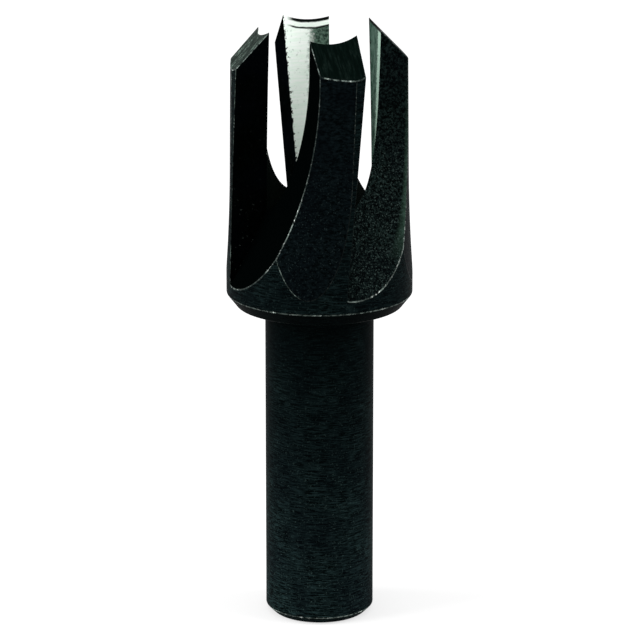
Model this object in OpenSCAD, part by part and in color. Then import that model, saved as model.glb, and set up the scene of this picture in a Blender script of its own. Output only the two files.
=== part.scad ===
// Four-prong tapered plug cutter, one solid piece.
// The axis is Z, the shank end lies on Z = 0 and the cutting tips point up.

/* [Shank] */
// Diameter of the plain shank that the chuck grips
shank_d = 10; // [9:0.1:11]
// Height of the shoulder face above the shank end
shank_l = 29.8; // [26:0.2:34]
// Chamfer on the shank end
shank_end_chamfer = 0.65; // [0.3:0.05:1.2]
// Fillet where the shank runs into the shoulder face
shank_fillet_r = 0.6; // [0.3:0.1:1]

/* [Head] */
// Diameter of the turned head
head_d = 17.1; // [16.6:0.1:18]
// Length of the head from the shoulder face to the four leading tips
head_l = 26; // [22:0.2:30]
// Radial width of the shoulder chamfer
shoulder_chamfer_w = 0.9; // [0.5:0.1:1.4]
// Axial height of the shoulder chamfer
shoulder_chamfer_h = 1.15; // [0.6:0.05:1.6]

/* [Bore] */
// Bore diameter at the height of the tips
bore_tip_d = 11.2; // [10.8:0.1:11.6]
// Taper of the bore wall, per side, in degrees
bore_taper = 1.5; // [0.5:0.05:2]
// Solid length left between the tapered bore and the shoulder face
bore_land = 6.2; // [5:0.2:9]
// Included angle of the conical bore bottom
bore_point_angle = 118; // [110:1:140]

/* [Gullets] */
// Distance of each leading face from the axis plane at the tips
lead_offset = 1.6; // [1.3:0.05:1.9]
// Distance of each trailing face from the axis plane
trail_offset = 2.72; // [2.4:0.02:3]
// Lean of the leading faces, in degrees
rake_lean = 5; // [3:0.25:6]
// Height above the shoulder face at which the gullet floors leave the head
gullet_foot = 2.25; // [1.8:0.05:5]
// Straight length of the trailing faces below the tips
gullet_straight = 2.7; // [1.5:0.1:4]

/* [Outer relief] */
// Radius of the relieved outer face behind each margin
relief_r = 15.75; // [15:0.05:16.5]
// Greatest depth of the relief at its reference height
relief_depth = 0.44; // [0.38:0.01:0.5]
// Angle from prong centreline to the deepest relief, in degrees
relief_turn = 27.4; // [26:0.2:29]
// Lean that deepens the relief towards the tips, in degrees
relief_lean = 0.6; // [0.3:0.05:0.9]
// Radius of the run-out at the foot of the relief
relief_runout_r = 152; // [130:1:170]
// Share of the head length at which the run-out begins
relief_start_share = 0.485; // [0.47:0.005:0.5]

/* [Tips] */
// Slope of the outer bevel on each prong, in degrees
bevel_angle = 46; // [43:0.5:49]
// Turn of the bevel that sets the tip relief, in degrees
bevel_turn = 10.7; // [7:0.1:14]

/* [Node] */
// Node to draw

/* [Hidden] */
$fn = 128;
prongs = 4;
head_r = head_d / 2;
shank_r = shank_d / 2;
bore_tip_r = bore_tip_d / 2;
tip_height = shank_l + head_l;
bore_depth = head_l - bore_land;
// blank height, above the highest cut
blank_h = tip_height + 1;
// clearance with which cutters pass the surfaces they open
overcut = 1;
// plan position of one leading tip
tip_y = -sqrt(bore_tip_r * bore_tip_r - lead_offset * lead_offset);
// bore radius at its full depth and at the blank top
bore_foot_r = bore_tip_r - bore_depth * tan(bore_taper);
bore_top_r = bore_tip_r + (blank_h + overcut - tip_height) * tan(bore_taper);
bore_foot_z = tip_height - bore_depth;
bore_point_l = bore_foot_r / tan(bore_point_angle / 2);
// radius of the disc that rounds out the gullets, from its rise and run
gullet_rise = head_r - trail_offset;
gullet_run = head_l - gullet_foot - gullet_straight;
gullet_disc_r = (gullet_rise * gullet_rise + gullet_run * gullet_run) / (2 * gullet_rise);
// height of the run-out, and the height at which the relief depth is measured
relief_start = shank_l + relief_start_share * head_l;
relief_ref_z = shank_l + 0.43 * head_l;
// lowest level and thickness of the ring of waste outside the relief
relief_low_z = shank_l - 2;
relief_ring_w = 3;
// distance of the relief axis from the tool axis
relief_axis = relief_r + relief_depth - head_r;

// Turned blank: shank, shoulder and head in one profile.
module turned_blank() {
    rotate_extrude()
        difference() {
            polygon([
                [0, 0],
                [shank_r - shank_end_chamfer, 0],
                [shank_r, shank_end_chamfer],
                [shank_r, shank_l - shank_fillet_r],
                [shank_r + shank_fillet_r, shank_l],
                [head_r - shoulder_chamfer_w, shank_l],
                [head_r, shank_l + shoulder_chamfer_h],
                [head_r, blank_h],
                [0, blank_h]
            ]);
            translate([shank_r + shank_fillet_r, shank_l - shank_fillet_r])
                circle(shank_fillet_r);
        }
}

// Tapered bore with its conical bottom.
module bore() {
    rotate_extrude()
        polygon([
            [0, bore_foot_z - bore_point_l],
            [bore_foot_r, bore_foot_z],
            [bore_top_r, blank_h + overcut],
            [0, blank_h + overcut]
        ]);
}

// Side view of the space swept by the gullet disc, origin at tip height.
module gullet_profile() {
    translate([-trail_offset - gullet_disc_r, -gullet_straight])
        circle(gullet_disc_r);
    translate([-trail_offset - 2 * gullet_disc_r, -gullet_straight])
        square([2 * gullet_disc_r, gullet_straight + blank_h - tip_height + 2 * overcut]);
}

// One gullet: flat leading face on one side, curved trailing face on the other.
module gullet() {
    translate([lead_offset, 0, tip_height])
        rotate([0, rake_lean, 0])
            rotate([90, 0, 90])
                linear_extrude(head_d)
                    gullet_profile();
}

// Waste outside the relieved outer face of one prong, with its run-out.
module outer_relief() {
    rotate([0, 0, -relief_turn])
        translate([0, relief_axis, relief_ref_z])
            rotate([-relief_lean, 0, 0])
                translate([0, 0, -relief_ref_z])
                    rotate_extrude()
                        intersection() {
                            translate([relief_r, relief_low_z])
                                square([relief_ring_w, blank_h - relief_low_z + overcut]);
                            union() {
                                translate([relief_r + relief_runout_r, relief_start])
                                    circle(relief_runout_r);
                                translate([relief_r, relief_start])
                                    square([head_r, blank_h]);
                            }
                        }
}

// Waste above the outer bevel of one prong.
module tip_bevel() {
    translate([lead_offset, tip_y, tip_height])
        rotate([0, 0, -bevel_turn])
            rotate([bevel_angle, 0, 0])
                translate([-head_r, -head_r, 0])
                    cube([head_d, head_r + bore_tip_r, head_r]);
}

// The whole cutter.
module plug_cutter() {
    color([0.12, 0.14, 0.15])
        difference() {
            turned_blank();
            bore();
            for (i = [0 : prongs - 1])
                rotate([0, 0, i * 360 / prongs]) {
                    gullet();
                    outer_relief();
                    tip_bevel();
                }
        }
}

plug_cutter();
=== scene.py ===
"""Four-prong tapered plug cutter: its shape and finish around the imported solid.

The cutter is turned, bored, milled, relieved and bevelled here in the same
order as the real one, in millimetres, and then scaled to metres.
"""
import logging
import math
from dataclasses import dataclass, field
from enum import Enum
from typing import Iterable, Sequence

import bmesh
import bpy
from mathutils import Euler, Matrix, Vector


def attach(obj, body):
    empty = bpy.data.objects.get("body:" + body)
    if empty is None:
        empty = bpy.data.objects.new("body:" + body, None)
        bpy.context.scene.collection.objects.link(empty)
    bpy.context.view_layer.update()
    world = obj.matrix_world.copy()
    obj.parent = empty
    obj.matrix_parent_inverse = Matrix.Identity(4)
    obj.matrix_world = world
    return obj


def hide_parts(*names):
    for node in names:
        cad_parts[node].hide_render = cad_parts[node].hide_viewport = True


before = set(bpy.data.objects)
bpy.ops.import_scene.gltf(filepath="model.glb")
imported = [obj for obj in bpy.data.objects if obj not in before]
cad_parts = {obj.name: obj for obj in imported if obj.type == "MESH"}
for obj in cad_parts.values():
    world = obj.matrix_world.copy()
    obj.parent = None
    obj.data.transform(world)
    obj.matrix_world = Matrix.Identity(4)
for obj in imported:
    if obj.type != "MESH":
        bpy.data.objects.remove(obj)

LOG = logging.getLogger("plug_cutter")
MM = 0.001
PRONGS = 4
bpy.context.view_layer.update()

Span = tuple[float, float]
Profile = Sequence[Span]
Point = tuple[float, float, float]
RGB = tuple[float, float, float]
Socket = bpy.types.NodeSocket
Colour = RGB | Socket
Value = float | Socket
Grain = float | tuple[float, float, float]
Place = tuple[Socket, Socket, Socket]

# Heights closer than this are the same.
SAME = 1e-9
# Nearly all of a noise lies in this span.
NOISE: Span = (0.3, 0.7)


class Finish(Enum):
    """The finishes of the cutter's surfaces, in material slot order."""

    TURNED = 0
    BORED = 1
    FLAT_WALL = 2
    ROUNDED_WALL = 3
    RELIEVED = 4
    BEVELLED = 5
    WORN_EDGE = 6
    FAINT_EDGE = 7


def mesh_object(name: str, mesh: bpy.types.Mesh) -> bpy.types.Object:
    """Link a new object that shows a mesh.

    Args:
        name: Name of the object.
        mesh: The mesh that it shows.

    Returns:
        The linked object.
    """
    piece = bpy.data.objects.new(name, mesh)
    bpy.context.scene.collection.objects.link(piece)
    return piece


def solid_from(
    name: str,
    points: Iterable[Vector],
    faces: Sequence[Sequence[int]],
    finishes: Sequence[Finish],
) -> bpy.types.Object:
    """Make a closed solid.

    Args:
        name: Name of the object and its mesh.
        points: Corner points in millimetres.
        faces: Corner numbers of each face.
        finishes: The finish of each face.

    Returns:
        The solid, with outward normals.
    """
    mesh = bpy.data.meshes.new(name)
    mesh.from_pydata([tuple(p) for p in points], [], [tuple(f) for f in faces])
    for face, finish in zip(mesh.polygons, finishes):
        face.material_index = finish.value
    shell = bmesh.new()
    shell.from_mesh(mesh)
    bmesh.ops.recalc_face_normals(shell, faces=shell.faces)
    shell.to_mesh(mesh)
    shell.free()
    return mesh_object(name, mesh)


def swept_solid(
    name: str,
    sections: Sequence[Sequence[Vector]],
    finish: Finish,
    first_cap: Finish | None = None,
) -> bpy.types.Object:
    """Join closed sections of equal length into a solid.

    Args:
        name: Name of the solid.
        sections: The sections, each a closed loop of points.
        finish: The finish that the solid's faces carry.
        first_cap: The finish of the first section's face, if it differs.

    Returns:
        The solid.
    """
    count = len(sections[0])
    last = (len(sections) - 1) * count
    faces: list[tuple[int, ...]] = [tuple(range(count)), tuple(last + k for k in range(count))]
    for low in range(0, last, count):
        high = low + count
        faces += [
            (low + k, low + (k + 1) % count, high + (k + 1) % count, high + k)
            for k in range(count)
        ]
    finishes = [first_cap or finish] + [finish] * (len(faces) - 1)
    return solid_from(name, [p for section in sections for p in section], faces, finishes)


def lathe(name: str, profile: Profile, steps: int, finish: Finish) -> bpy.types.Object:
    """Turn a half profile, from axis point to axis point, about the Z axis.

    Args:
        name: Name of the solid.
        profile: Radius and height of each point, first and last on the axis.
        steps: Number of steps in the full turn.
        finish: The finish that the solid's faces carry.

    Returns:
        The turned solid.
    """
    rim = list(profile[1:-1])
    points = [Vector((0.0, 0.0, profile[0][1])), Vector((0.0, 0.0, profile[-1][1]))]
    for step in range(steps):
        turn = 2.0 * math.pi * step / steps
        points += [Vector((r * math.cos(turn), r * math.sin(turn), z)) for r, z in rim]
    count = len(rim)
    faces: list[tuple[int, ...]] = []
    for step in range(steps):
        a = 2 + step * count
        b = 2 + ((step + 1) % steps) * count
        faces += [(a + k, b + k, b + k + 1, a + k + 1) for k in range(count - 1)]
    foot = [2 + s * count for s in range(steps)]
    top = [2 + s * count + count - 1 for s in range(steps)]
    if abs(profile[0][1] - rim[0][1]) < SAME:
        faces.append(tuple(foot))
    else:
        faces += [(0, foot[(s + 1) % steps], foot[s]) for s in range(steps)]
    if abs(profile[-1][1] - rim[-1][1]) < SAME:
        faces.append(tuple(top))
    else:
        faces += [(1, top[s], top[(s + 1) % steps]) for s in range(steps)]
    used = sorted({i for f in faces for i in f})
    place = {old: new for new, old in enumerate(used)}
    return solid_from(
        name,
        [points[i] for i in used],
        [tuple(place[i] for i in f) for f in faces],
        [finish] * len(faces),
    )


def cut_away(body: bpy.types.Object, tool: bpy.types.Object) -> None:
    """Cut a tool's space out of a body and remove the tool.

    Args:
        body: The solid that is cut; its mesh is replaced.
        tool: The solid that cuts it.
    """
    cut = body.modifiers.new("cut", "BOOLEAN")
    cut.operation = "DIFFERENCE"
    cut.solver = "EXACT"
    cut.material_mode = "INDEX"
    cut.object = tool
    graph = bpy.context.evaluated_depsgraph_get()
    result = bpy.data.meshes.new_from_object(body.evaluated_get(graph))
    body.modifiers.clear()
    old = body.data
    body.data = result
    bpy.data.meshes.remove(old)
    spent = tool.data
    bpy.data.objects.remove(tool)
    bpy.data.meshes.remove(spent)


@dataclass(frozen=True)
class TurnedBlank:
    """Shank, shoulder and head, turned in one piece."""

    shank_r: float = 5.0
    shank_l: float = 29.8
    end_chamfer: float = 0.65
    fillet_r: float = 0.6
    head_r: float = 8.55
    head_l: float = 26.0
    shoulder_w: float = 0.9
    shoulder_h: float = 1.15
    spare: float = 1.0
    steps: int = 256
    fillet_steps: int = 24

    @property
    def tip_z(self) -> float:
        """Height of the leading tips above the shank end."""
        return self.shank_l + self.head_l

    @property
    def shoulder_z(self) -> float:
        """Height at which the head's full width starts."""
        return self.shank_l + self.shoulder_h

    @property
    def top_z(self) -> float:
        """Height of the uncut blank."""
        return self.tip_z + self.spare

    def solid(self) -> bpy.types.Object:
        """Turn the blank.

        Returns:
            The blank, whole.
        """
        fillet = [
            (
                self.shank_r + self.fillet_r * (1.0 - math.cos(t)),
                self.shank_l - self.fillet_r * (1.0 - math.sin(t)),
            )
            for t in (
                0.5 * math.pi * k / self.fillet_steps for k in range(self.fillet_steps + 1)
            )
        ]
        profile = [
            (0.0, 0.0),
            (self.shank_r - self.end_chamfer, 0.0),
            (self.shank_r, self.end_chamfer),
            *fillet,
            (self.head_r - self.shoulder_w, self.shank_l),
            (self.head_r, self.shoulder_z),
            (self.head_r, self.top_z),
            (0.0, self.top_z),
        ]
        return lathe("turned_blank", profile, self.steps, Finish.TURNED)


@dataclass(frozen=True)
class TaperedBore:
    """The tapered bore that shapes the plug, with its conical bottom."""

    blank: TurnedBlank
    tip_r: float = 5.6
    taper: float = math.radians(1.5)
    land: float = 6.2
    point_angle: float = math.radians(118.0)
    steps: int = 224

    def radius(self, z: float) -> float:
        """Radius of the bore wall at a height."""
        return self.tip_r - (self.blank.tip_z - z) * math.tan(self.taper)

    def tool(self) -> bpy.types.Object:
        """Make the space that the boring bar clears.

        Returns:
            The space, in place.
        """
        foot_z = self.blank.shank_l + self.land
        foot_r = self.radius(foot_z)
        top_z = self.blank.top_z + self.blank.spare
        profile = [
            (0.0, foot_z - foot_r / math.tan(self.point_angle / 2.0)),
            (foot_r, foot_z),
            (self.radius(top_z), top_z),
            (0.0, top_z),
        ]
        return lathe("tapered_bore", profile, self.steps, Finish.BORED)


@dataclass(frozen=True)
class Gullet:
    """One gullet: a flat leaning face and a floor that a disc rounds out."""

    blank: TurnedBlank
    lead_offset: float = 1.6
    trail_offset: float = 2.72
    lean: float = math.radians(5.0)
    foot: float = 2.25
    straight: float = 2.7
    reach: float = 12.0
    steps: int = 44

    @property
    def disc_r(self) -> float:
        """Radius of the disc that cuts the floor.

        Returns:
            The radius, from the floor's rise and run.
        """
        rise = self.blank.head_r - self.trail_offset
        run = self.blank.head_l - self.foot - self.straight
        return (rise * rise + run * run) / (2.0 * rise)

    def tool(self, turn: float) -> bpy.types.Object:
        """Make the space that the disc clears.

        Args:
            turn: Angle of the gullet about the tool axis.

        Returns:
            The space, in place.
        """
        disc_r = self.disc_r
        top = 2.0 * self.blank.spare
        end = math.acos(1.0 - (self.reach - self.trail_offset) / disc_r)
        side = [(-self.trail_offset, top), (-self.trail_offset, -self.straight)]
        side += [
            (
                -self.trail_offset - disc_r * (1.0 - math.cos(end * k / self.steps)),
                -self.straight - disc_r * math.sin(end * k / self.steps),
            )
            for k in range(1, self.steps + 1)
        ]
        side.append((-self.reach, top))
        place = (
            Matrix.Rotation(turn, 4, "Z")
            @ Matrix.Translation((self.lead_offset, 0.0, self.blank.tip_z))
            @ Matrix.Rotation(self.lean, 4, "Y")
        )
        sections = [
            [place @ Vector((across, y, z)) for y, z in side] for across in (0.0, self.reach)
        ]
        return swept_solid("gullet", sections, Finish.ROUNDED_WALL, Finish.FLAT_WALL)


@dataclass(frozen=True)
class OuterRelief:
    """The relieved outer face behind one margin, with its run-out."""

    blank: TurnedBlank
    radius: float = 15.75
    depth: float = 0.44
    turn: float = math.radians(27.4)
    lean: float = math.radians(0.6)
    runout_r: float = 152.0
    start_share: float = 0.485
    ref_share: float = 0.43
    low: float = 2.0
    thick: float = 3.0
    half_angle: float = math.radians(20.0)
    steps: int = 72
    rows: int = 20

    def tool(self, turn: float) -> bpy.types.Object:
        """Make the waste that lies outside the relieved face.

        Args:
            turn: Angle of the prong about the tool axis.

        Returns:
            The waste, in place.
        """
        start = self.blank.shank_l + self.start_share * self.blank.head_l
        ref = self.blank.shank_l + self.ref_share * self.blank.head_l
        foot = self.blank.shank_l - self.low
        top = self.blank.top_z + self.blank.spare
        profile = []
        for k in range(self.rows + 1):
            z = foot + (start - foot) * k / self.rows
            fall = start - z
            flare = self.runout_r - math.sqrt(self.runout_r**2 - fall**2)
            profile.append((self.radius + flare, z))
        profile += [
            (self.radius, top),
            (self.radius + self.thick, top),
            (self.radius + self.thick, foot),
        ]
        place = (
            Matrix.Rotation(turn - self.turn, 4, "Z")
            @ Matrix.Translation((0.0, self.radius + self.depth - self.blank.head_r, ref))
            @ Matrix.Rotation(-self.lean, 4, "X")
            @ Matrix.Translation((0.0, 0.0, -ref))
        )
        sections = []
        for step in range(self.steps + 1):
            a = self.half_angle * (2.0 * step / self.steps - 1.0)
            sections.append(
                [place @ Vector((r * math.sin(a), -r * math.cos(a), z)) for r, z in profile]
            )
        return swept_solid("outer_relief", sections, Finish.RELIEVED)


@dataclass(frozen=True)
class TipBevel:
    """The outer bevel that brings one prong to its cutting edge."""

    blank: TurnedBlank
    bore: TaperedBore
    gullet: Gullet
    angle: float = math.radians(46.0)
    turn: float = math.radians(10.7)

    def tool(self, turn: float) -> bpy.types.Object:
        """Make the waste that lies above the bevel.

        Args:
            turn: Angle of the prong about the tool axis.

        Returns:
            The waste, in place.
        """
        head_r, tip_r = self.blank.head_r, self.bore.tip_r
        lead = self.gullet.lead_offset
        place = (
            Matrix.Rotation(turn, 4, "Z")
            @ Matrix.Translation((lead, -math.sqrt(tip_r**2 - lead**2), self.blank.tip_z))
            @ Matrix.Rotation(-self.turn, 4, "Z")
            @ Matrix.Rotation(self.angle, 4, "X")
        )
        floor_plan = [(-head_r, -head_r), (head_r, -head_r), (head_r, tip_r), (-head_r, tip_r)]
        sections = [
            [place @ Vector((x, y, z)) for x, y in floor_plan] for z in (0.0, head_r)
        ]
        return swept_solid("tip_bevel", sections, Finish.BEVELLED)


WORN_PAIRS = (
    {Finish.TURNED},
    {Finish.TURNED, Finish.ROUNDED_WALL},
    {Finish.RELIEVED, Finish.ROUNDED_WALL},
    {Finish.BEVELLED, Finish.RELIEVED},
    {Finish.BEVELLED, Finish.TURNED},
    {Finish.BEVELLED, Finish.ROUNDED_WALL},
    {Finish.BEVELLED, Finish.FLAT_WALL},
)
FAINT_PAIRS = (
    {Finish.RELIEVED, Finish.TURNED},
    {Finish.TURNED, Finish.FLAT_WALL},
)


@dataclass(frozen=True)
class PlugCutter:
    """The whole cutter, cut from its blank, with its outer corners worn."""

    blank: TurnedBlank = field(default_factory=TurnedBlank)
    worn_width: float = 0.065
    faint_width: float = 0.035
    corner_angle: float = math.radians(24.0)
    crease_angle: float = math.radians(2.6)
    weld: float = 0.012
    sliver: float = 1e-4

    def build(self) -> bpy.types.Object:
        """Cut the blank into the finished cutter.

        Returns:
            The cutter, in metres, with each face's material index set to its finish.
        """
        bore = TaperedBore(self.blank)
        gullet = Gullet(self.blank)
        relief = OuterRelief(self.blank)
        bevel = TipBevel(self.blank, bore, gullet)
        body = self.blank.solid()
        cut_away(body, bore.tool())
        for prong in range(PRONGS):
            turn = 2.0 * math.pi * prong / PRONGS
            cut_away(body, gullet.tool(turn))
            cut_away(body, relief.tool(turn))
            cut_away(body, bevel.tool(turn))
        body.name = "plug_cutter_body"
        self._wear(body.data)
        body.data.transform(Matrix.Diagonal((MM, MM, MM, 1.0)))
        LOG.info("%s: %d faces", body.name, len(body.data.polygons))
        return body

    def _wear(self, mesh: bpy.types.Mesh) -> None:
        """Break the worn corners and mark the other edges sharp or smooth.

        Args:
            mesh: The cutter's mesh, in millimetres.
        """
        shell = bmesh.new()
        shell.from_mesh(mesh)
        bmesh.ops.remove_doubles(shell, verts=shell.verts, dist=self.weld)
        bmesh.ops.dissolve_degenerate(shell, dist=self.sliver, edges=shell.edges)
        worn = [edge for edge in shell.edges if self._is_worn(edge)]
        self._break(shell, worn, self.worn_width, Finish.WORN_EDGE)
        faint = [edge for edge in shell.edges if self._finishes(edge) in FAINT_PAIRS]
        self._break(shell, faint, self.faint_width, Finish.FAINT_EDGE)
        for edge in shell.edges:
            edge.smooth = len(edge.link_faces) == 2 and edge.calc_face_angle(0.0) < self.crease_angle
        for face in shell.faces:
            face.smooth = True
        LOG.info("worn edges: %d, faint edges: %d", len(worn), len(faint))
        shell.to_mesh(mesh)
        shell.free()

    def _is_worn(self, edge: bmesh.types.BMEdge) -> bool:
        """Tell whether an edge is an outer corner that wears bright and carries painted highlights.

        Args:
            edge: The edge.

        Returns:
            True where it is one.
        """
        if len(edge.link_faces) != 2 or edge.calc_face_angle_signed(0.0) < self.corner_angle:
            return False
        return self._finishes(edge) in WORN_PAIRS

    @staticmethod
    def _finishes(edge: bmesh.types.BMEdge) -> set[Finish]:
        """Give the finishes on both sides of an edge."""
        return {Finish(face.material_index) for face in edge.link_faces}

    @staticmethod
    def _break(
        shell: bmesh.types.BMesh,
        edges: list[bmesh.types.BMEdge],
        width: float,
        finish: Finish,
    ) -> None:
        """Turn edges into narrow worn strips.

        Args:
            shell: The mesh that holds the edges.
            edges: The edges.
            width: How far each strip reaches to either side, in millimetres.
            finish: The finish of the strips.
        """
        bmesh.ops.bevel(
            shell,
            geom=edges,
            offset=width,
            offset_type="OFFSET",
            segments=2,
            profile=0.5,
            affect="EDGES",
            clamp_overlap=False,
            loop_slide=False,
            material=finish.value,
            miter_outer="SHARP",
        )


class NodeSheet:
    """The node tree of one material, laid out from coordinates to shader."""

    # Places of the colour mix's sockets, which share their names with others.
    MIX_SHARE = 0
    MIX_FIRST = 6
    MIX_SECOND = 7
    MIX_RESULT = 2

    def __init__(self, name: str) -> None:
        """Start a material with the standard shader.

        Args:
            name: Name of the material.
        """
        self.material = bpy.data.materials.new(name)
        self.material.use_nodes = True
        self.tree = self.material.node_tree
        self.shader = self.tree.nodes["Principled BSDF"]
        self.place = self.node("ShaderNodeTexCoord").outputs["Object"]

    def node(self, kind: str, **settings: object) -> bpy.types.Node:
        """Add a node and set its own options.

        Args:
            kind: Blender's name of the node type.
            settings: Options of the node, by attribute name.

        Returns:
            The new node.
        """
        new = self.tree.nodes.new(kind)
        for key, value in settings.items():
            setattr(new, key, value)
        return new

    def feed(self, socket: Socket, value: object) -> None:
        """Link or set an input.

        Args:
            socket: The input.
            value: The socket that feeds it, or its fixed value.
        """
        if isinstance(value, Socket):
            self.tree.links.new(value, socket)
        else:
            socket.default_value = value

    def set(self, **values: object) -> None:
        """Link or set the shader's inputs, an underscore for each space."""
        for key, value in values.items():
            self.feed(self.shader.inputs[key.replace("_", " ")], value)

    def math(self, operation: str, *values: Value) -> Socket:
        """Work out a value from others.

        Args:
            operation: Blender's name of the operation.
            values: Numbers or sockets, in order.

        Returns:
            The result.
        """
        sum_node = self.node("ShaderNodeMath", operation=operation)
        for socket, value in zip(sum_node.inputs, values):
            self.feed(socket, value)
        return sum_node.outputs[0]

    def axes(self) -> Place:
        """Give the place of a surface point.

        Returns:
            The place along X, Y and Z in millimetres.
        """
        split = self.node("ShaderNodeSeparateXYZ")
        self.feed(split.inputs[0], self.stretched((1.0, 1.0, 1.0)))
        return split.outputs["X"], split.outputs["Y"], split.outputs["Z"]

    def prong_axes(self) -> tuple[Socket, Socket]:
        """Give the place of a surface point on its own prong.

        Returns:
            The place across and outwards along the prong in millimetres.
        """
        x, y, _ = self.axes()
        upright = self.math("GREATER_THAN", self.math("ABSOLUTE", y), self.math("ABSOLUTE", x))
        facing = self.math("MULTIPLY", self.math("SIGN", y), self.math("MULTIPLY", x, -1.0))
        beside = self.math("MULTIPLY", self.math("SIGN", x), y)
        change = self.math("MULTIPLY", upright, self.math("SUBTRACT", facing, beside))
        outwards = self.math("MAXIMUM", self.math("ABSOLUTE", x), self.math("ABSOLUTE", y))
        return self.math("ADD", beside, change), outwards

    def stretched(self, scale: Point) -> Socket:
        """Give the place in millimetres, stretched along each axis.

        Args:
            scale: The stretch along X, Y and Z.

        Returns:
            The stretched place.
        """
        mapping = self.node("ShaderNodeMapping")
        mapping.inputs["Scale"].default_value = tuple(s / MM for s in scale)
        self.feed(mapping.inputs["Vector"], self.place)
        return mapping.outputs["Vector"]

    def noise(
        self,
        grain: Grain,
        detail: float = 3.0,
        rough: float = 0.6,
        across: tuple[Socket, Socket] | None = None,
    ) -> Socket:
        """Add noise whose grain per millimetre is given for each axis.

        Args:
            grain: Grains per millimetre along three axes, or along all.
            detail: Number of finer layers.
            rough: Share that each finer layer keeps.
            across: Places across and along a prong that stand for X and Y.

        Returns:
            The noise value, about 0.5 in the mean.
        """
        scale = grain if isinstance(grain, tuple) else (grain,) * 3
        texture = self.node("ShaderNodeTexNoise")
        self.feed(texture.inputs["Scale"], 1.0)
        self.feed(texture.inputs["Detail"], detail)
        self.feed(texture.inputs["Roughness"], rough)
        if across is None:
            place = self.stretched(scale)
        else:
            joined = self.node("ShaderNodeCombineXYZ")
            for socket, axis, step in zip(joined.inputs, (*across, self.axes()[2]), scale):
                self.feed(socket, self.math("MULTIPLY", axis, step))
            place = joined.outputs[0]
        self.feed(texture.inputs["Vector"], place)
        return texture.outputs["Fac"]

    def span(
        self, value: Socket, low: float, high: float, start: float = 0.0, end: float = 1.0
    ) -> Socket:
        """Map a value's span to another one, held at its ends.

        Args:
            value: The value that is mapped.
            low: Value at the first end.
            high: Value at the other end.
            start: What the first end becomes.
            end: What the other end becomes.

        Returns:
            The mapped value.
        """
        spread = self.node("ShaderNodeMapRange", clamp=True)
        ends = {"From Min": low, "From Max": high, "To Min": start, "To Max": end}
        for key, number in ends.items():
            self.feed(spread.inputs[key], number)
        self.feed(spread.inputs["Value"], value)
        return spread.outputs["Result"]

    def gloss(self, noise: Socket, middle: float, spread: float) -> Socket:
        """Vary a roughness by a noise, smoother where the noise is high."""
        return self.span(noise, *NOISE, middle + spread, middle - spread)

    def ragged(self, value: Socket, noise: Socket, depth: float) -> Socket:
        """Shift a value either way by a noise, up to a depth."""
        return self.math("ADD", value, self.span(noise, *NOISE, -depth, depth))

    def below(self, value: Socket, limit: float, soft: float) -> Socket:
        """Give 1 where a value lies below a limit, with a soft end."""
        return self.span(value, limit - soft, limit + soft, 1.0, 0.0)

    def band(self, value: Socket, low: float, high: float, soft: float) -> Socket:
        """Give 1 where a value lies between two limits, with soft ends.

        Args:
            value: The value.
            low: Lower limit.
            high: Upper limit.
            soft: Half width of each end.

        Returns:
            The share, from 0 to 1.
        """
        above = self.span(value, low - soft, low + soft)
        return self.math("MULTIPLY", above, self.below(value, high, soft))

    def blend(self, share: Socket, first: Colour, second: Colour) -> Socket:
        """Blend from one colour to another by a share.

        Args:
            share: 0 for the first colour, 1 for the second.
            first: A colour or the socket of one.
            second: A colour or the socket of one.

        Returns:
            The blended colour.
        """
        mix = self.node("ShaderNodeMix", data_type="RGBA")
        self.feed(mix.inputs[self.MIX_SHARE], share)
        for place, colour in ((self.MIX_FIRST, first), (self.MIX_SECOND, second)):
            self.feed(mix.inputs[place], (*colour, 1.0) if isinstance(colour, tuple) else colour)
        return mix.outputs[self.MIX_RESULT]

    def bump(self, height: Socket, depth: float, strength: float = 0.6) -> None:
        """Press a height into the shading normal.

        Args:
            height: Height from 0 to 1.
            depth: Depth of the full height in millimetres.
            strength: Share of the bump that shows.
        """
        press = self.node("ShaderNodeBump")
        self.feed(press.inputs["Strength"], strength)
        self.feed(press.inputs["Distance"], depth * MM)
        self.feed(press.inputs["Height"], height)
        self.feed(self.shader.inputs["Normal"], press.outputs["Normal"])


@dataclass(frozen=True)
class PaintedShoulderShade:
    """Painted shade that deepens up the shank to the shoulder's underside and chamfer, which the head
    overhangs, and thins out on the head.
    """

    shank: float = 0.88
    head_drop: float = 0.34
    lands: float = 0.12
    shank_from: float = 2.0
    below_shoulder: float = 1.5
    head_drop_height: float = 0.1
    land_heights: Span = (2.0, 14.0)

    def share(self, sheet: NodeSheet, z: Socket) -> Socket:
        """Give the share of painted shade at a height.

        Args:
            sheet: The material's sheet.
            z: Height.

        Returns:
            The share of painted shade.
        """
        shoulder = TurnedBlank().shoulder_z
        shank = sheet.span(z, self.shank_from, shoulder - self.below_shoulder, 0.0, self.shank)
        head_drop = sheet.span(z, shoulder, shoulder + self.head_drop_height, 0.0, self.head_drop)
        low, high = (shoulder + rise for rise in self.land_heights)
        lands = sheet.span(z, low, high, 0.0, self.lands)
        return sheet.math("ADD", sheet.math("SUBTRACT", shank, head_drop), lands)


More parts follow.
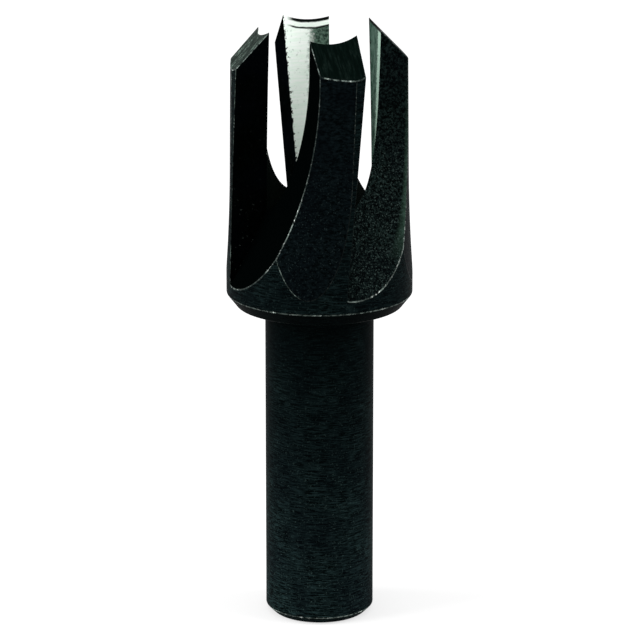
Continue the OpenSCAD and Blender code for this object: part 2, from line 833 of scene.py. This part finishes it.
@dataclass(frozen=True)
class OuterTone:
    """A paler tone along the outer side of the right gullet wall."""

    colour: RGB = (0.055, 0.115, 0.08)
    inner_r: float = 7.72
    low_z: Span = (35.0, 40.0)
    high_z: Span = (43.0, 50.0)
    high_least: float = 0.1
    right_x: Span = (2.5, 3.5)
    near_y: Span = (-0.8, -0.3)
    line_span: Span = (0.3, 0.6)
    line_least: float = 0.35

    def share(self, sheet: NodeSheet, place: Place, lines: Socket) -> Socket:
        """Give the share of the paler tone.

        Args:
            sheet: The material's sheet.
            place: Place along X, Y and Z.
            lines: The noise of the tool lines.

        Returns:
            The share of the paler tone.
        """
        x, y, z = place
        squares = sheet.math("ADD", sheet.math("MULTIPLY", x, x), sheet.math("MULTIPLY", y, y))
        share = sheet.span(sheet.math("SQRT", squares), self.inner_r, TurnedBlank().head_r)
        for part in (
            sheet.span(lines, *self.line_span, self.line_least, 1.0),
            sheet.span(z, *self.low_z),
            sheet.span(z, *self.high_z, 1.0, self.high_least),
            sheet.span(x, *self.right_x),
            sheet.span(y, *self.near_y, 1.0, 0.0),
        ):
            share = sheet.math("MULTIPLY", share, part)
        return share


@dataclass(frozen=True)
class OxideSkin:
    """Black oxide on steel, with tool lines, specks and soft patches."""

    name: str
    dark: RGB
    pale: RGB
    grain: Grain
    line_span: Span
    speck_colour: RGB
    speck_span: Span
    roughness: float
    shine: float
    depth: float
    speck_grain: float = 6.5
    speck_top: Span | None = None
    speck_least: float = 0.1
    patch_colour: RGB = (0.0007, 0.0011, 0.0019)
    patch_grain: float = 0.22
    patch_span: Span = (0.4, 0.6)
    patch_share: float = 0.5
    rough_spread: float = 0.06
    tint: RGB = (0.72, 1.0, 0.93)
    painted_shade: PaintedShoulderShade | None = None
    outer: OuterTone | None = None
    left_painted_light_share: float = 1.0
    left_x: Span = (-2.5, 1.5)

    def material(self) -> bpy.types.Material:
        """Build the node material.

        Returns:
            The material.
        """
        sheet = NodeSheet(self.name)
        x, y, z = sheet.axes()
        lines = sheet.noise(self.grain, rough=0.7)
        specks = sheet.noise(self.speck_grain, detail=2.0)
        patches = sheet.noise(self.patch_grain, detail=2.0, rough=0.5)
        colour = sheet.blend(sheet.span(lines, *self.line_span), self.dark, self.pale)
        patched = sheet.span(patches, *self.patch_span, 0.0, self.patch_share)
        colour = sheet.blend(patched, colour, self.patch_colour)
        if self.outer:
            colour = sheet.blend(self.outer.share(sheet, (x, y, z), lines), colour, self.outer.colour)
        share = sheet.span(specks, *self.speck_span)
        if self.speck_top:
            thin = sheet.span(z, *self.speck_top, 1.0, self.speck_least)
            share = sheet.math("MULTIPLY", share, thin)
        colour = sheet.blend(share, colour, self.speck_colour)
        # Painted shade: darker up the shank and on the chamfer under the head's shoulder.
        if self.painted_shade:
            colour = sheet.blend(self.painted_shade.share(sheet, z), colour, self.dark)
        shine: Value = self.shine
        # Painted shade: towards the left the colour falls to dark and the shine drops, where the left
        # prong shades the gullet.
        if self.left_painted_light_share < 1.0:
            colour = sheet.blend(sheet.span(x, *self.left_x, self.left_painted_light_share, 1.0), self.dark, colour)
            shine = sheet.span(x, *self.left_x, self.left_painted_light_share * self.shine, self.shine)
        sheet.set(
            Base_Color=colour,
            Roughness=sheet.gloss(specks, self.roughness, self.rough_spread),
            Specular_IOR_Level=shine,
            Specular_Tint=(*self.tint, 1.0),
        )
        sheet.bump(lines, self.depth)
        return sheet.material


@dataclass(frozen=True)
class GroundBevel:
    """Dark ground steel, streaked along the slope, with a painted sheen and bright scratches that are
    partly painted glints on the left prong.
    """

    name: str = "ground_bevel"
    dark: RGB = (0.0004, 0.0019, 0.0014)
    pale: RGB = (0.0018, 0.005, 0.004)
    scratch_glint: RGB = (0.13, 0.19, 0.155)
    left_sheen: RGB = (0.003, 0.01, 0.0065)
    tint: RGB = (0.7, 1.0, 0.88)
    streak_grain: Grain = (5.0, 0.7, 0.7)
    streak_span: Span = (0.42, 0.68)
    grit_grain: float = 4.5
    grit_span: Span = (0.42, 0.66)
    scratch_span: Span = (0.5, 0.62)
    scratch_least: float = 0.02
    left_x: Span = (-3.5, -6.0)
    left_painted_light_share: float = 0.7
    left_gloss: float = 0.4
    gloss_span: Span = (0.35, 0.65)
    rough_span: Span = (0.36, 0.2)
    shine: float = 0.012
    depth: float = 0.03

    def material(self) -> bpy.types.Material:
        """Build the node material.

        Returns:
            The material.
        """
        sheet = NodeSheet(self.name)
        x, _, _ = sheet.axes()
        streaks = sheet.noise(self.streak_grain, rough=0.7, across=sheet.prong_axes())
        grit = sheet.noise(self.grit_grain, rough=0.7)
        colour = sheet.blend(sheet.span(streaks, *self.streak_span), self.dark, self.pale)
        # Painted sheen: the left prong's bevel is blended to a paler green tone, and its shine is
        # lowered below, as if it caught the light.
        colour = sheet.blend(sheet.span(x, *self.left_x, 0.0, self.left_painted_light_share), colour, self.left_sheen)
        # Bare scratches, nearly all on the left prong, which also stand in there as painted glints.
        glint_scratches = sheet.span(x, *self.left_x, self.scratch_least, 1.0)
        for part in (sheet.span(grit, *self.grit_span), sheet.span(streaks, *self.scratch_span)):
            glint_scratches = sheet.math("MULTIPLY", glint_scratches, part)
        sheet.set(
            Base_Color=sheet.blend(glint_scratches, colour, self.scratch_glint),
            Roughness=sheet.span(streaks, *self.gloss_span, *self.rough_span),
            Specular_IOR_Level=sheet.span(x, *self.left_x, self.shine, self.shine * self.left_gloss),
            Specular_Tint=(*self.tint, 1.0),
        )
        sheet.bump(streaks, self.depth)
        return sheet.material


@dataclass(frozen=True)
class BoredSteel:
    """Bare bored steel, stained on one side, black at its foot and its rims, with painted shade on the
    side prongs' faces.
    """

    blank: TurnedBlank = field(default_factory=TurnedBlank)
    name: str = "bored_steel"
    dark: RGB = (0.84, 0.95, 0.86)
    pale: RGB = (0.96, 1.0, 0.96)
    grain: Grain = (0.5, 0.5, 5.0)
    line_span: Span = (0.35, 0.65)
    stain_dark: RGB = (0.014, 0.028, 0.021)
    stain_pale: RGB = (0.1, 0.165, 0.125)
    stain_x: Span = (0.7, 1.5)
    stain_below: Span = (0.7, 0.9)
    stain_ragged: float = 0.35
    mottle_grain: float = 3.4
    mottle_span: Span = (0.42, 0.6)
    fleck_span: Span = (0.6, 0.74)
    fleck_across: Span = (-1.0, 1.4)
    wander_grain: float = 0.9
    near_shade: RGB = (0.42, 0.5, 0.44)
    near_y: Span = (3.0, 1.8)
    side_dark: RGB = (0.01, 0.03, 0.02)
    side_pale: RGB = (0.06, 0.1, 0.08)
    side_x: Span = (3.0, 4.2)
    smear_grain: Grain = (2.6, 2.6, 0.9)
    smear_span: Span = (0.38, 0.66)
    side_edge: RGB = (0.25, 0.36, 0.295)
    edge_y: Span = (-0.1, -0.4)
    edge_ragged: float = 0.2
    black: RGB = (0.0012, 0.0026, 0.002)
    black_below: float = 41.8
    black_soft: float = 0.3
    black_tilt: float = 0.4
    black_ragged: float = 0.6
    rim_depth: float = 0.31
    rim_soft: float = 0.06
    rim_ragged: float = 0.05
    rim_across: Span = (1.2, 0.6)
    rim_right_x: Span = (3.0, 3.4)
    groove_depth: float = 0.84
    groove_half: float = 0.085
    groove_soft: float = 0.04
    burr_span: Span = (0.4, 0.65)
    burr_reach: Span = (0.12, -0.2)
    burr_soft: float = 0.06
    roughness: float = 0.42
    rough_spread: float = -0.08
    metallic: float = 0.15
    shine: float = 0.05
    depth: float = 0.01

    def material(self) -> bpy.types.Material:
        """Build the node material.

        Returns:
            The material.
        """
        sheet = NodeSheet(self.name)
        x, y, z = sheet.axes()
        across, outwards = sheet.prong_axes()
        lines = sheet.noise(self.grain, rough=0.65)
        mottle = sheet.noise(self.mottle_grain, detail=4.0, rough=0.65)
        wander = sheet.noise(self.wander_grain)
        below = self._below_rim(sheet, across, outwards, z)
        bare = self._bare(sheet, lines, mottle, across)
        stain = sheet.blend(sheet.span(mottle, *self.mottle_span), self.stain_dark, self.stain_pale)
        stained = sheet.math(
            "MULTIPLY",
            sheet.span(sheet.ragged(x, mottle, self.stain_ragged), *self.stain_x),
            sheet.span(below, *self.stain_below),
        )
        colour = sheet.blend(stained, bare, stain)
        # Painted shade: the side prongs' bore faces towards the front are darker, and the right
        # prong's far darker, paler again towards its front.
        colour = sheet.blend(sheet.span(y, *self.near_y), colour, self.near_shade)
        colour = sheet.blend(sheet.span(x, *self.side_x), colour, self._painted_side_shade(sheet, mottle, y))
        # Black towards the bore's foot, in bands at the rim and groove, and on the burr.
        blackening = self._blackening(sheet, (x, y, z), across, below, wander)
        blackening = sheet.math("MAXIMUM", blackening, self._burr(sheet, z, across, mottle))
        sheet.set(
            Base_Color=sheet.blend(blackening, colour, self.black),
            Metallic=sheet.span(blackening, 0.0, 1.0, self.metallic, 0.0),
            Roughness=sheet.gloss(mottle, self.roughness, self.rough_spread),
            Specular_IOR_Level=self.shine,
        )
        sheet.bump(lines, self.depth)
        return sheet.material

    def _bare(self, sheet: NodeSheet, lines: Socket, mottle: Socket, across: Socket) -> Socket:
        """Give the pale steel with its boring lines and dark flecks.

        Args:
            sheet: The material's sheet.
            lines: The noise of the boring lines.
            mottle: Fine noise.
            across: Place across the prong.

        Returns:
            The colour of the bare steel.
        """
        bare = sheet.blend(sheet.span(lines, *self.line_span), self.dark, self.pale)
        flecks = sheet.span(mottle, *self.fleck_span)
        fleck = sheet.math("MULTIPLY", flecks, sheet.span(across, *self.fleck_across))
        return sheet.blend(fleck, bare, self.side_pale)

    def _painted_side_shade(self, sheet: NodeSheet, mottle: Socket, y: Socket) -> Socket:
        """Give the painted shade of the right prong's bore, smeared, with its pale edge.

        Args:
            sheet: The material's sheet.
            mottle: Fine noise.
            y: Place along Y.

        Returns:
            The painted shade colour of the right prong's bore.
        """
        smear = sheet.noise(self.smear_grain)
        side = sheet.blend(sheet.span(smear, *self.smear_span), self.side_dark, self.side_pale)
        edge = sheet.span(sheet.ragged(y, mottle, self.edge_ragged), *self.edge_y)
        return sheet.blend(edge, side, self.side_edge)

    def _below_rim(self, sheet: NodeSheet, across: Socket, outwards: Socket, z: Socket) -> Socket:
        """Give the height of the bevel's plane above a place in the bore.

        Args:
            sheet: The material's sheet.
            across: Place across the prong.
            outwards: Place outwards along the prong.
            z: Height.

        Returns:
            Millimetres below the bevel's plane.
        """
        bore = TaperedBore(self.blank)
        bevel = TipBevel(self.blank, bore, Gullet(self.blank))
        lead = bevel.gullet.lead_offset
        foot = math.sqrt(bore.tip_r**2 - lead**2)
        skew = math.tan(bevel.angle) * math.sin(bevel.turn)
        fall = math.tan(bevel.angle) * math.cos(bevel.turn)
        level = self.blank.tip_z - skew * lead + fall * foot
        sideways = sheet.math("MULTIPLY", across, skew)
        down = sheet.math("MULTIPLY", outwards, fall)
        plane = sheet.math("ADD", sheet.math("SUBTRACT", sideways, down), level)
        return sheet.math("SUBTRACT", plane, z)

    def _blackening(
        self, sheet: NodeSheet, place: Place, across: Socket, below: Socket, wander: Socket
    ) -> Socket:
        """Give the share of black at the bore's foot, rim and groove.

        Args:
            sheet: The material's sheet.
            place: Place along X, Y and Z.
            across: Place across the prong.
            below: Depth below the rim.
            wander: Slow noise.

        Returns:
            The share of black.
        """
        x, _, z = place
        tilted = sheet.math("ADD", z, sheet.math("MULTIPLY", x, self.black_tilt))
        foot = sheet.ragged(tilted, wander, self.black_ragged)
        black = sheet.below(foot, self.black_below, self.black_soft)
        rim = sheet.ragged(below, wander, self.rim_ragged)
        groove = sheet.band(
            rim,
            self.groove_depth - self.groove_half,
            self.groove_depth + self.groove_half,
            self.groove_soft,
        )
        groove = sheet.math("MULTIPLY", groove, sheet.span(x, *self.rim_right_x, 1.0, 0.0))
        bands = sheet.math("MAXIMUM", sheet.below(rim, self.rim_depth, self.rim_soft), groove)
        right = sheet.span(x, *self.rim_right_x)
        reach = sheet.math("MAXIMUM", sheet.span(across, *self.rim_across), right)
        return sheet.math("MAXIMUM", black, sheet.math("MULTIPLY", bands, reach))

    def _burr(self, sheet: NodeSheet, z: Socket, across: Socket, mottle: Socket) -> Socket:
        """Give the share of black on the ragged burr beside the flat wall.

        Args:
            sheet: The material's sheet.
            z: Height.
            across: Place across the prong.
            mottle: Fine noise.

        Returns:
            The share of black.
        """
        gullet = Gullet(self.blank)
        drop = sheet.math("SUBTRACT", self.blank.tip_z, z)
        lean = sheet.math("MULTIPLY", drop, math.tan(gullet.lean))
        gap = sheet.math("SUBTRACT", sheet.math("SUBTRACT", gullet.lead_offset, lean), across)
        burr = sheet.math("ADD", gap, sheet.span(mottle, *self.burr_span, *self.burr_reach))
        return sheet.span(burr, 0.0, self.burr_soft, 1.0, 0.0)


@dataclass(frozen=True)
class EdgeSkin:
    """Oxide on a broken corner, with bare steel and bright dots where it is worn; both also serve as
    painted highlights along the corner.
    """

    name: str
    dark: RGB
    pale: RGB
    spot: RGB
    dot_grain: float = 2.3
    dot_span: Span = (0.42, 0.62)
    spot_grain: float = 3.8
    spot_span: Span = (0.58, 0.7)
    run_grain: float = 0.55
    run_span: Span = (0.42, 0.58)
    run_least: float = 0.4
    roughness: float = 0.375
    rough_spread: float = 0.075
    shine: float = 0.04
    depth: float = 0.01

    def material(self) -> bpy.types.Material:
        """Build the node material.

        Returns:
            The material.
        """
        sheet = NodeSheet(self.name)
        dots = sheet.noise(self.dot_grain, rough=0.65)
        spots = sheet.noise(self.spot_grain, detail=2.0)
        runs = sheet.noise(self.run_grain, detail=2.0)
        runs = sheet.span(runs, *self.run_span, self.run_least, 1.0)
        # Worn bare steel and painted highlights share this mask.
        wear_and_glint = sheet.math("MULTIPLY", self._wear(sheet), runs)
        bare = sheet.math("MULTIPLY", sheet.span(dots, *self.dot_span), wear_and_glint)
        colour = sheet.blend(bare, self.dark, self.pale)
        bright = sheet.math("MULTIPLY", sheet.span(spots, *self.spot_span), wear_and_glint)
        sheet.set(
            Base_Color=sheet.blend(bright, colour, self.spot),
            Roughness=sheet.gloss(dots, self.roughness, self.rough_spread),
            Specular_IOR_Level=self.shine,
        )
        sheet.bump(spots, self.depth)
        return sheet.material

    def _wear(self, sheet: NodeSheet) -> Socket:
        """Give how far a place is worn and carries painted highlights, from 0 to 1."""
        raise NotImplementedError


@dataclass(frozen=True)
class WornGlintEdge(EdgeSkin):
    """A corner that is worn and carries painted highlights, most at the foot of the head and round the
    bevels.
    """

    name: str = "worn_glint_edge"
    dark: RGB = (0.004, 0.0075, 0.007)
    pale: RGB = (0.19, 0.24, 0.215)
    spot: RGB = (0.58, 0.64, 0.6)
    quiet_z: Span = (40.5, 44.5)
    quiet_share: float = 0.16
    right_x: Span = (2.0, 5.0)
    right_drop: float = 4.5
    left_x: Span = (-7.3, -6.4)
    left_least: float = 0.3
    shaded_z: Span = (29.0, 30.3)
    shaded_soft: float = 0.2
    bevel_z: Span = (51.8, 52.1)
    bevel_share: float = 0.8
    bevel_right_x: Span = (4.0, 5.0)
    bevel_right_share: float = 0.3

    def _wear(self, sheet: NodeSheet) -> Socket:
        """Give how far a place is worn and carries painted highlights.

        Args:
            sheet: The material's sheet.

        Returns:
            How far it is worn and highlighted, from 0 to 1.
        """
        x, _, z = sheet.axes()
        level = sheet.math("ADD", z, sheet.span(x, *self.right_x, 0.0, self.right_drop))
        low = sheet.span(level, *self.quiet_z, 1.0, self.quiet_share)
        low = sheet.math("MULTIPLY", low, sheet.span(x, *self.left_x, self.left_least, 1.0))
        # Painted shade: no bright marks on the edges at the shoulder's underside, which lie in shade.
        low = sheet.math("SUBTRACT", low, sheet.band(z, *self.shaded_z, self.shaded_soft))
        high = sheet.span(z, *self.bevel_z, 0.0, self.bevel_share)
        right = sheet.span(x, *self.bevel_right_x, 1.0, self.bevel_right_share)
        return sheet.math("MAXIMUM", low, sheet.math("MULTIPLY", high, right))


@dataclass(frozen=True)
class FaintEdge(EdgeSkin):
    """A corner that shows as a faint line, bright on one arm of the relief's foot."""

    name: str = "faint_edge"
    dark: RGB = (0.001, 0.0019, 0.0021)
    pale: RGB = (0.12, 0.16, 0.14)
    spot: RGB = (0.3, 0.36, 0.33)
    arm_z: Span = (36.0, 37.0)
    arm_x: Span = (-4.8, -4.3)
    line_z: Span = (38.0, 50.0)
    line_share: Span = (0.05, 0.2)
    left_x: Span = (-7.2, -7.6)
    left_z: Span = (44.0, 49.0)
    left_least: float = 0.2

    def _wear(self, sheet: NodeSheet) -> Socket:
        """Give how far a place is worn and carries painted highlights.

        Args:
            sheet: The material's sheet.

        Returns:
            How far it is worn and highlighted, from 0 to 1.
        """
        x, _, z = sheet.axes()
        low = sheet.span(z, *self.arm_z, 1.0, 0.0)
        arm = sheet.math("MULTIPLY", low, sheet.span(x, *self.arm_x, 1.0, 0.0))
        high = sheet.span(z, *self.left_z, self.left_least, 1.0)
        left = sheet.math("MULTIPLY", sheet.span(x, *self.left_x), high)
        line = sheet.span(z, *self.line_z, *self.line_share)
        return sheet.math("MAXIMUM", arm, sheet.math("MAXIMUM", line, left))


SKINS: dict[Finish, OxideSkin | BoredSteel | GroundBevel | EdgeSkin] = {
    Finish.TURNED: OxideSkin(
        name="turned_oxide",
        dark=(0.0003, 0.0009, 0.001),
        pale=(0.0192, 0.04, 0.041),
        grain=(1.0, 1.0, 11.0),
        line_span=(0.44, 0.76),
        speck_colour=(0.036, 0.062, 0.058),
        speck_span=(0.6, 0.82),
        roughness=0.42,
        shine=0.006,
        depth=0.012,
        patch_colour=(0.001, 0.0016, 0.0028),
        painted_shade=PaintedShoulderShade(),
    ),
    Finish.BORED: BoredSteel(),
    # Painted shade: the flat walls get a far darker oxide tone than the rounded walls because they lie
    # in shade.
    Finish.FLAT_WALL: OxideSkin(
        name="flat_wall_oxide",
        dark=(0.0002, 0.0004, 0.0003),
        pale=(0.0011, 0.0018, 0.0016),
        grain=2.5,
        line_span=(0.5, 0.8),
        speck_colour=(0.09, 0.11, 0.1),
        speck_span=(0.67, 0.78),
        roughness=0.55,
        shine=0.0,
        depth=0.01,
        speck_grain=3.2,
        speck_top=(36.0, 41.0),
    ),
    Finish.ROUNDED_WALL: OxideSkin(
        name="rounded_wall_oxide",
        dark=(0.0002, 0.0005, 0.0005),
        pale=(0.0085, 0.0165, 0.0152),
        grain=4.2,
        line_span=(0.47, 0.66),
        speck_colour=(0.033, 0.052, 0.047),
        speck_span=(0.56, 0.72),
        roughness=0.5,
        shine=0.005,
        depth=0.015,
        speck_top=(42.0, 48.0),
        # Painted shade on the gullet floor beside the left prong.
        left_painted_light_share=0.01,
        outer=OuterTone(),
    ),
    Finish.RELIEVED: OxideSkin(
        name="relieved_oxide",
        dark=(0.0002, 0.0007, 0.0009),
        pale=(0.0042, 0.0078, 0.0092),
        grain=(2.4, 2.4, 5.0),
        line_span=(0.4, 0.76),
        speck_colour=(0.016, 0.026, 0.026),
        speck_span=(0.6, 0.78),
        roughness=0.45,
        shine=0.008,
        depth=0.012,
        speck_top=(41.0, 47.0),
    ),
    Finish.BEVELLED: GroundBevel(),
    Finish.WORN_EDGE: WornGlintEdge(),
    Finish.FAINT_EDGE: FaintEdge(),
}


def facing(place: Point, aim: Point) -> Euler:
    """Give the turn that points a camera or a lamp from its place to its aim."""
    return (Vector(aim) - Vector(place)).to_track_quat("-Z", "Y").to_euler()


@dataclass(frozen=True)
class Lamp:
    """A soft square lamp that faces the cutter."""

    name: str
    place: Point
    power: float
    width: float = 0.5
    aim: Point = (0.0, 0.0, 0.03)

    def hang(self) -> None:
        """Hang the lamp in its place."""
        data = bpy.data.lights.new(self.name, "AREA")
        data.shape = "SQUARE"
        data.size = self.width
        data.energy = self.power
        lamp = bpy.data.objects.new(self.name, data)
        lamp.location = self.place
        lamp.rotation_euler = facing(self.place, self.aim)
        bpy.context.scene.collection.objects.link(lamp)


@dataclass(frozen=True)
class Studio:
    """Pale floor and backdrop, soft light and the camera, in metres."""

    lens: float = 213.66
    sensor: float = 36.0
    nearest: float = 0.01
    eye: Point = (-0.11568, -0.31550, 0.12591)
    aim: Point = (0.0, 0.0, 0.028087)
    shift_x: float = 0.0008
    world_level: float = 1.0
    floor_half: float = 2.0
    floor_tone: float = 0.35
    floor_rough: float = 0.9
    floor_lift: float = 0.55
    lamps: tuple[Lamp, ...] = (
        Lamp("key_lamp", (0.62, -0.33, 0.4), 5.2),
        Lamp("fill_lamp", (-0.7, 0.12, 0.35), 7.6),
    )

    def camera(self) -> None:
        """Place the camera and make it the scene's."""
        data = bpy.data.cameras.new("studio_camera")
        data.lens = self.lens
        data.sensor_width = self.sensor
        data.clip_start = self.nearest
        data.shift_x = self.shift_x
        eye = bpy.data.objects.new("studio_camera", data)
        eye.location = self.eye
        eye.rotation_euler = facing(self.eye, self.aim)
        bpy.context.scene.collection.objects.link(eye)
        bpy.context.scene.camera = eye

    def floor(self) -> None:
        """Lay the white floor that keeps the cutter's shadow."""
        half = self.floor_half
        corners = [(-half, -half, 0.0), (half, -half, 0.0), (half, half, 0.0), (-half, half, 0.0)]
        mesh = bpy.data.meshes.new("studio_floor")
        mesh.from_pydata(corners, [], [(0, 1, 2, 3)])
        ground = mesh_object("studio_floor", mesh)
        sheet = NodeSheet("studio_floor")
        seen = sheet.node("ShaderNodeLightPath").outputs["Is Camera Ray"]
        sheet.set(
            Base_Color=(self.floor_tone, self.floor_tone, self.floor_tone, 1.0),
            Roughness=self.floor_rough,
            Specular_IOR_Level=0.0,
            Emission_Color=(1.0, 1.0, 1.0, 1.0),
            Emission_Strength=sheet.span(seen, 0.0, 1.0, 0.0, self.floor_lift),
        )
        mesh.materials.append(sheet.material)

    def world(self) -> None:
        """Surround the cutter with a plain white tent."""
        world = bpy.data.worlds.new("studio_world")
        bpy.context.scene.world = world
        world.use_nodes = True
        back = world.node_tree.nodes["Background"]
        back.inputs["Color"].default_value = (1.0, 1.0, 1.0, 1.0)
        back.inputs["Strength"].default_value = self.world_level

    def build(self) -> None:
        """Set up the whole studio."""
        bpy.context.scene.view_settings.view_transform = "Standard"
        self.floor()
        self.world()
        for lamp in self.lamps:
            lamp.hang()
        self.camera()
        LOG.info("studio: floor, backdrop, %d lamps and camera", len(self.lamps))


def main() -> None:
    """Build the cutter, dress it and report each piece."""
    logging.basicConfig(level=logging.INFO, format="%(name)s: %(message)s")
    cutter = PlugCutter().build()
    for finish in Finish:
        cutter.data.materials.append(SKINS[finish].material())
    smooth = cutter.modifiers.new("face_weighted", "WEIGHTED_NORMAL")
    smooth.keep_sharp = True
    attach(cutter, "root")
    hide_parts("plug_cutter")
    Studio().build()


if __name__ == "__main__":
    main()
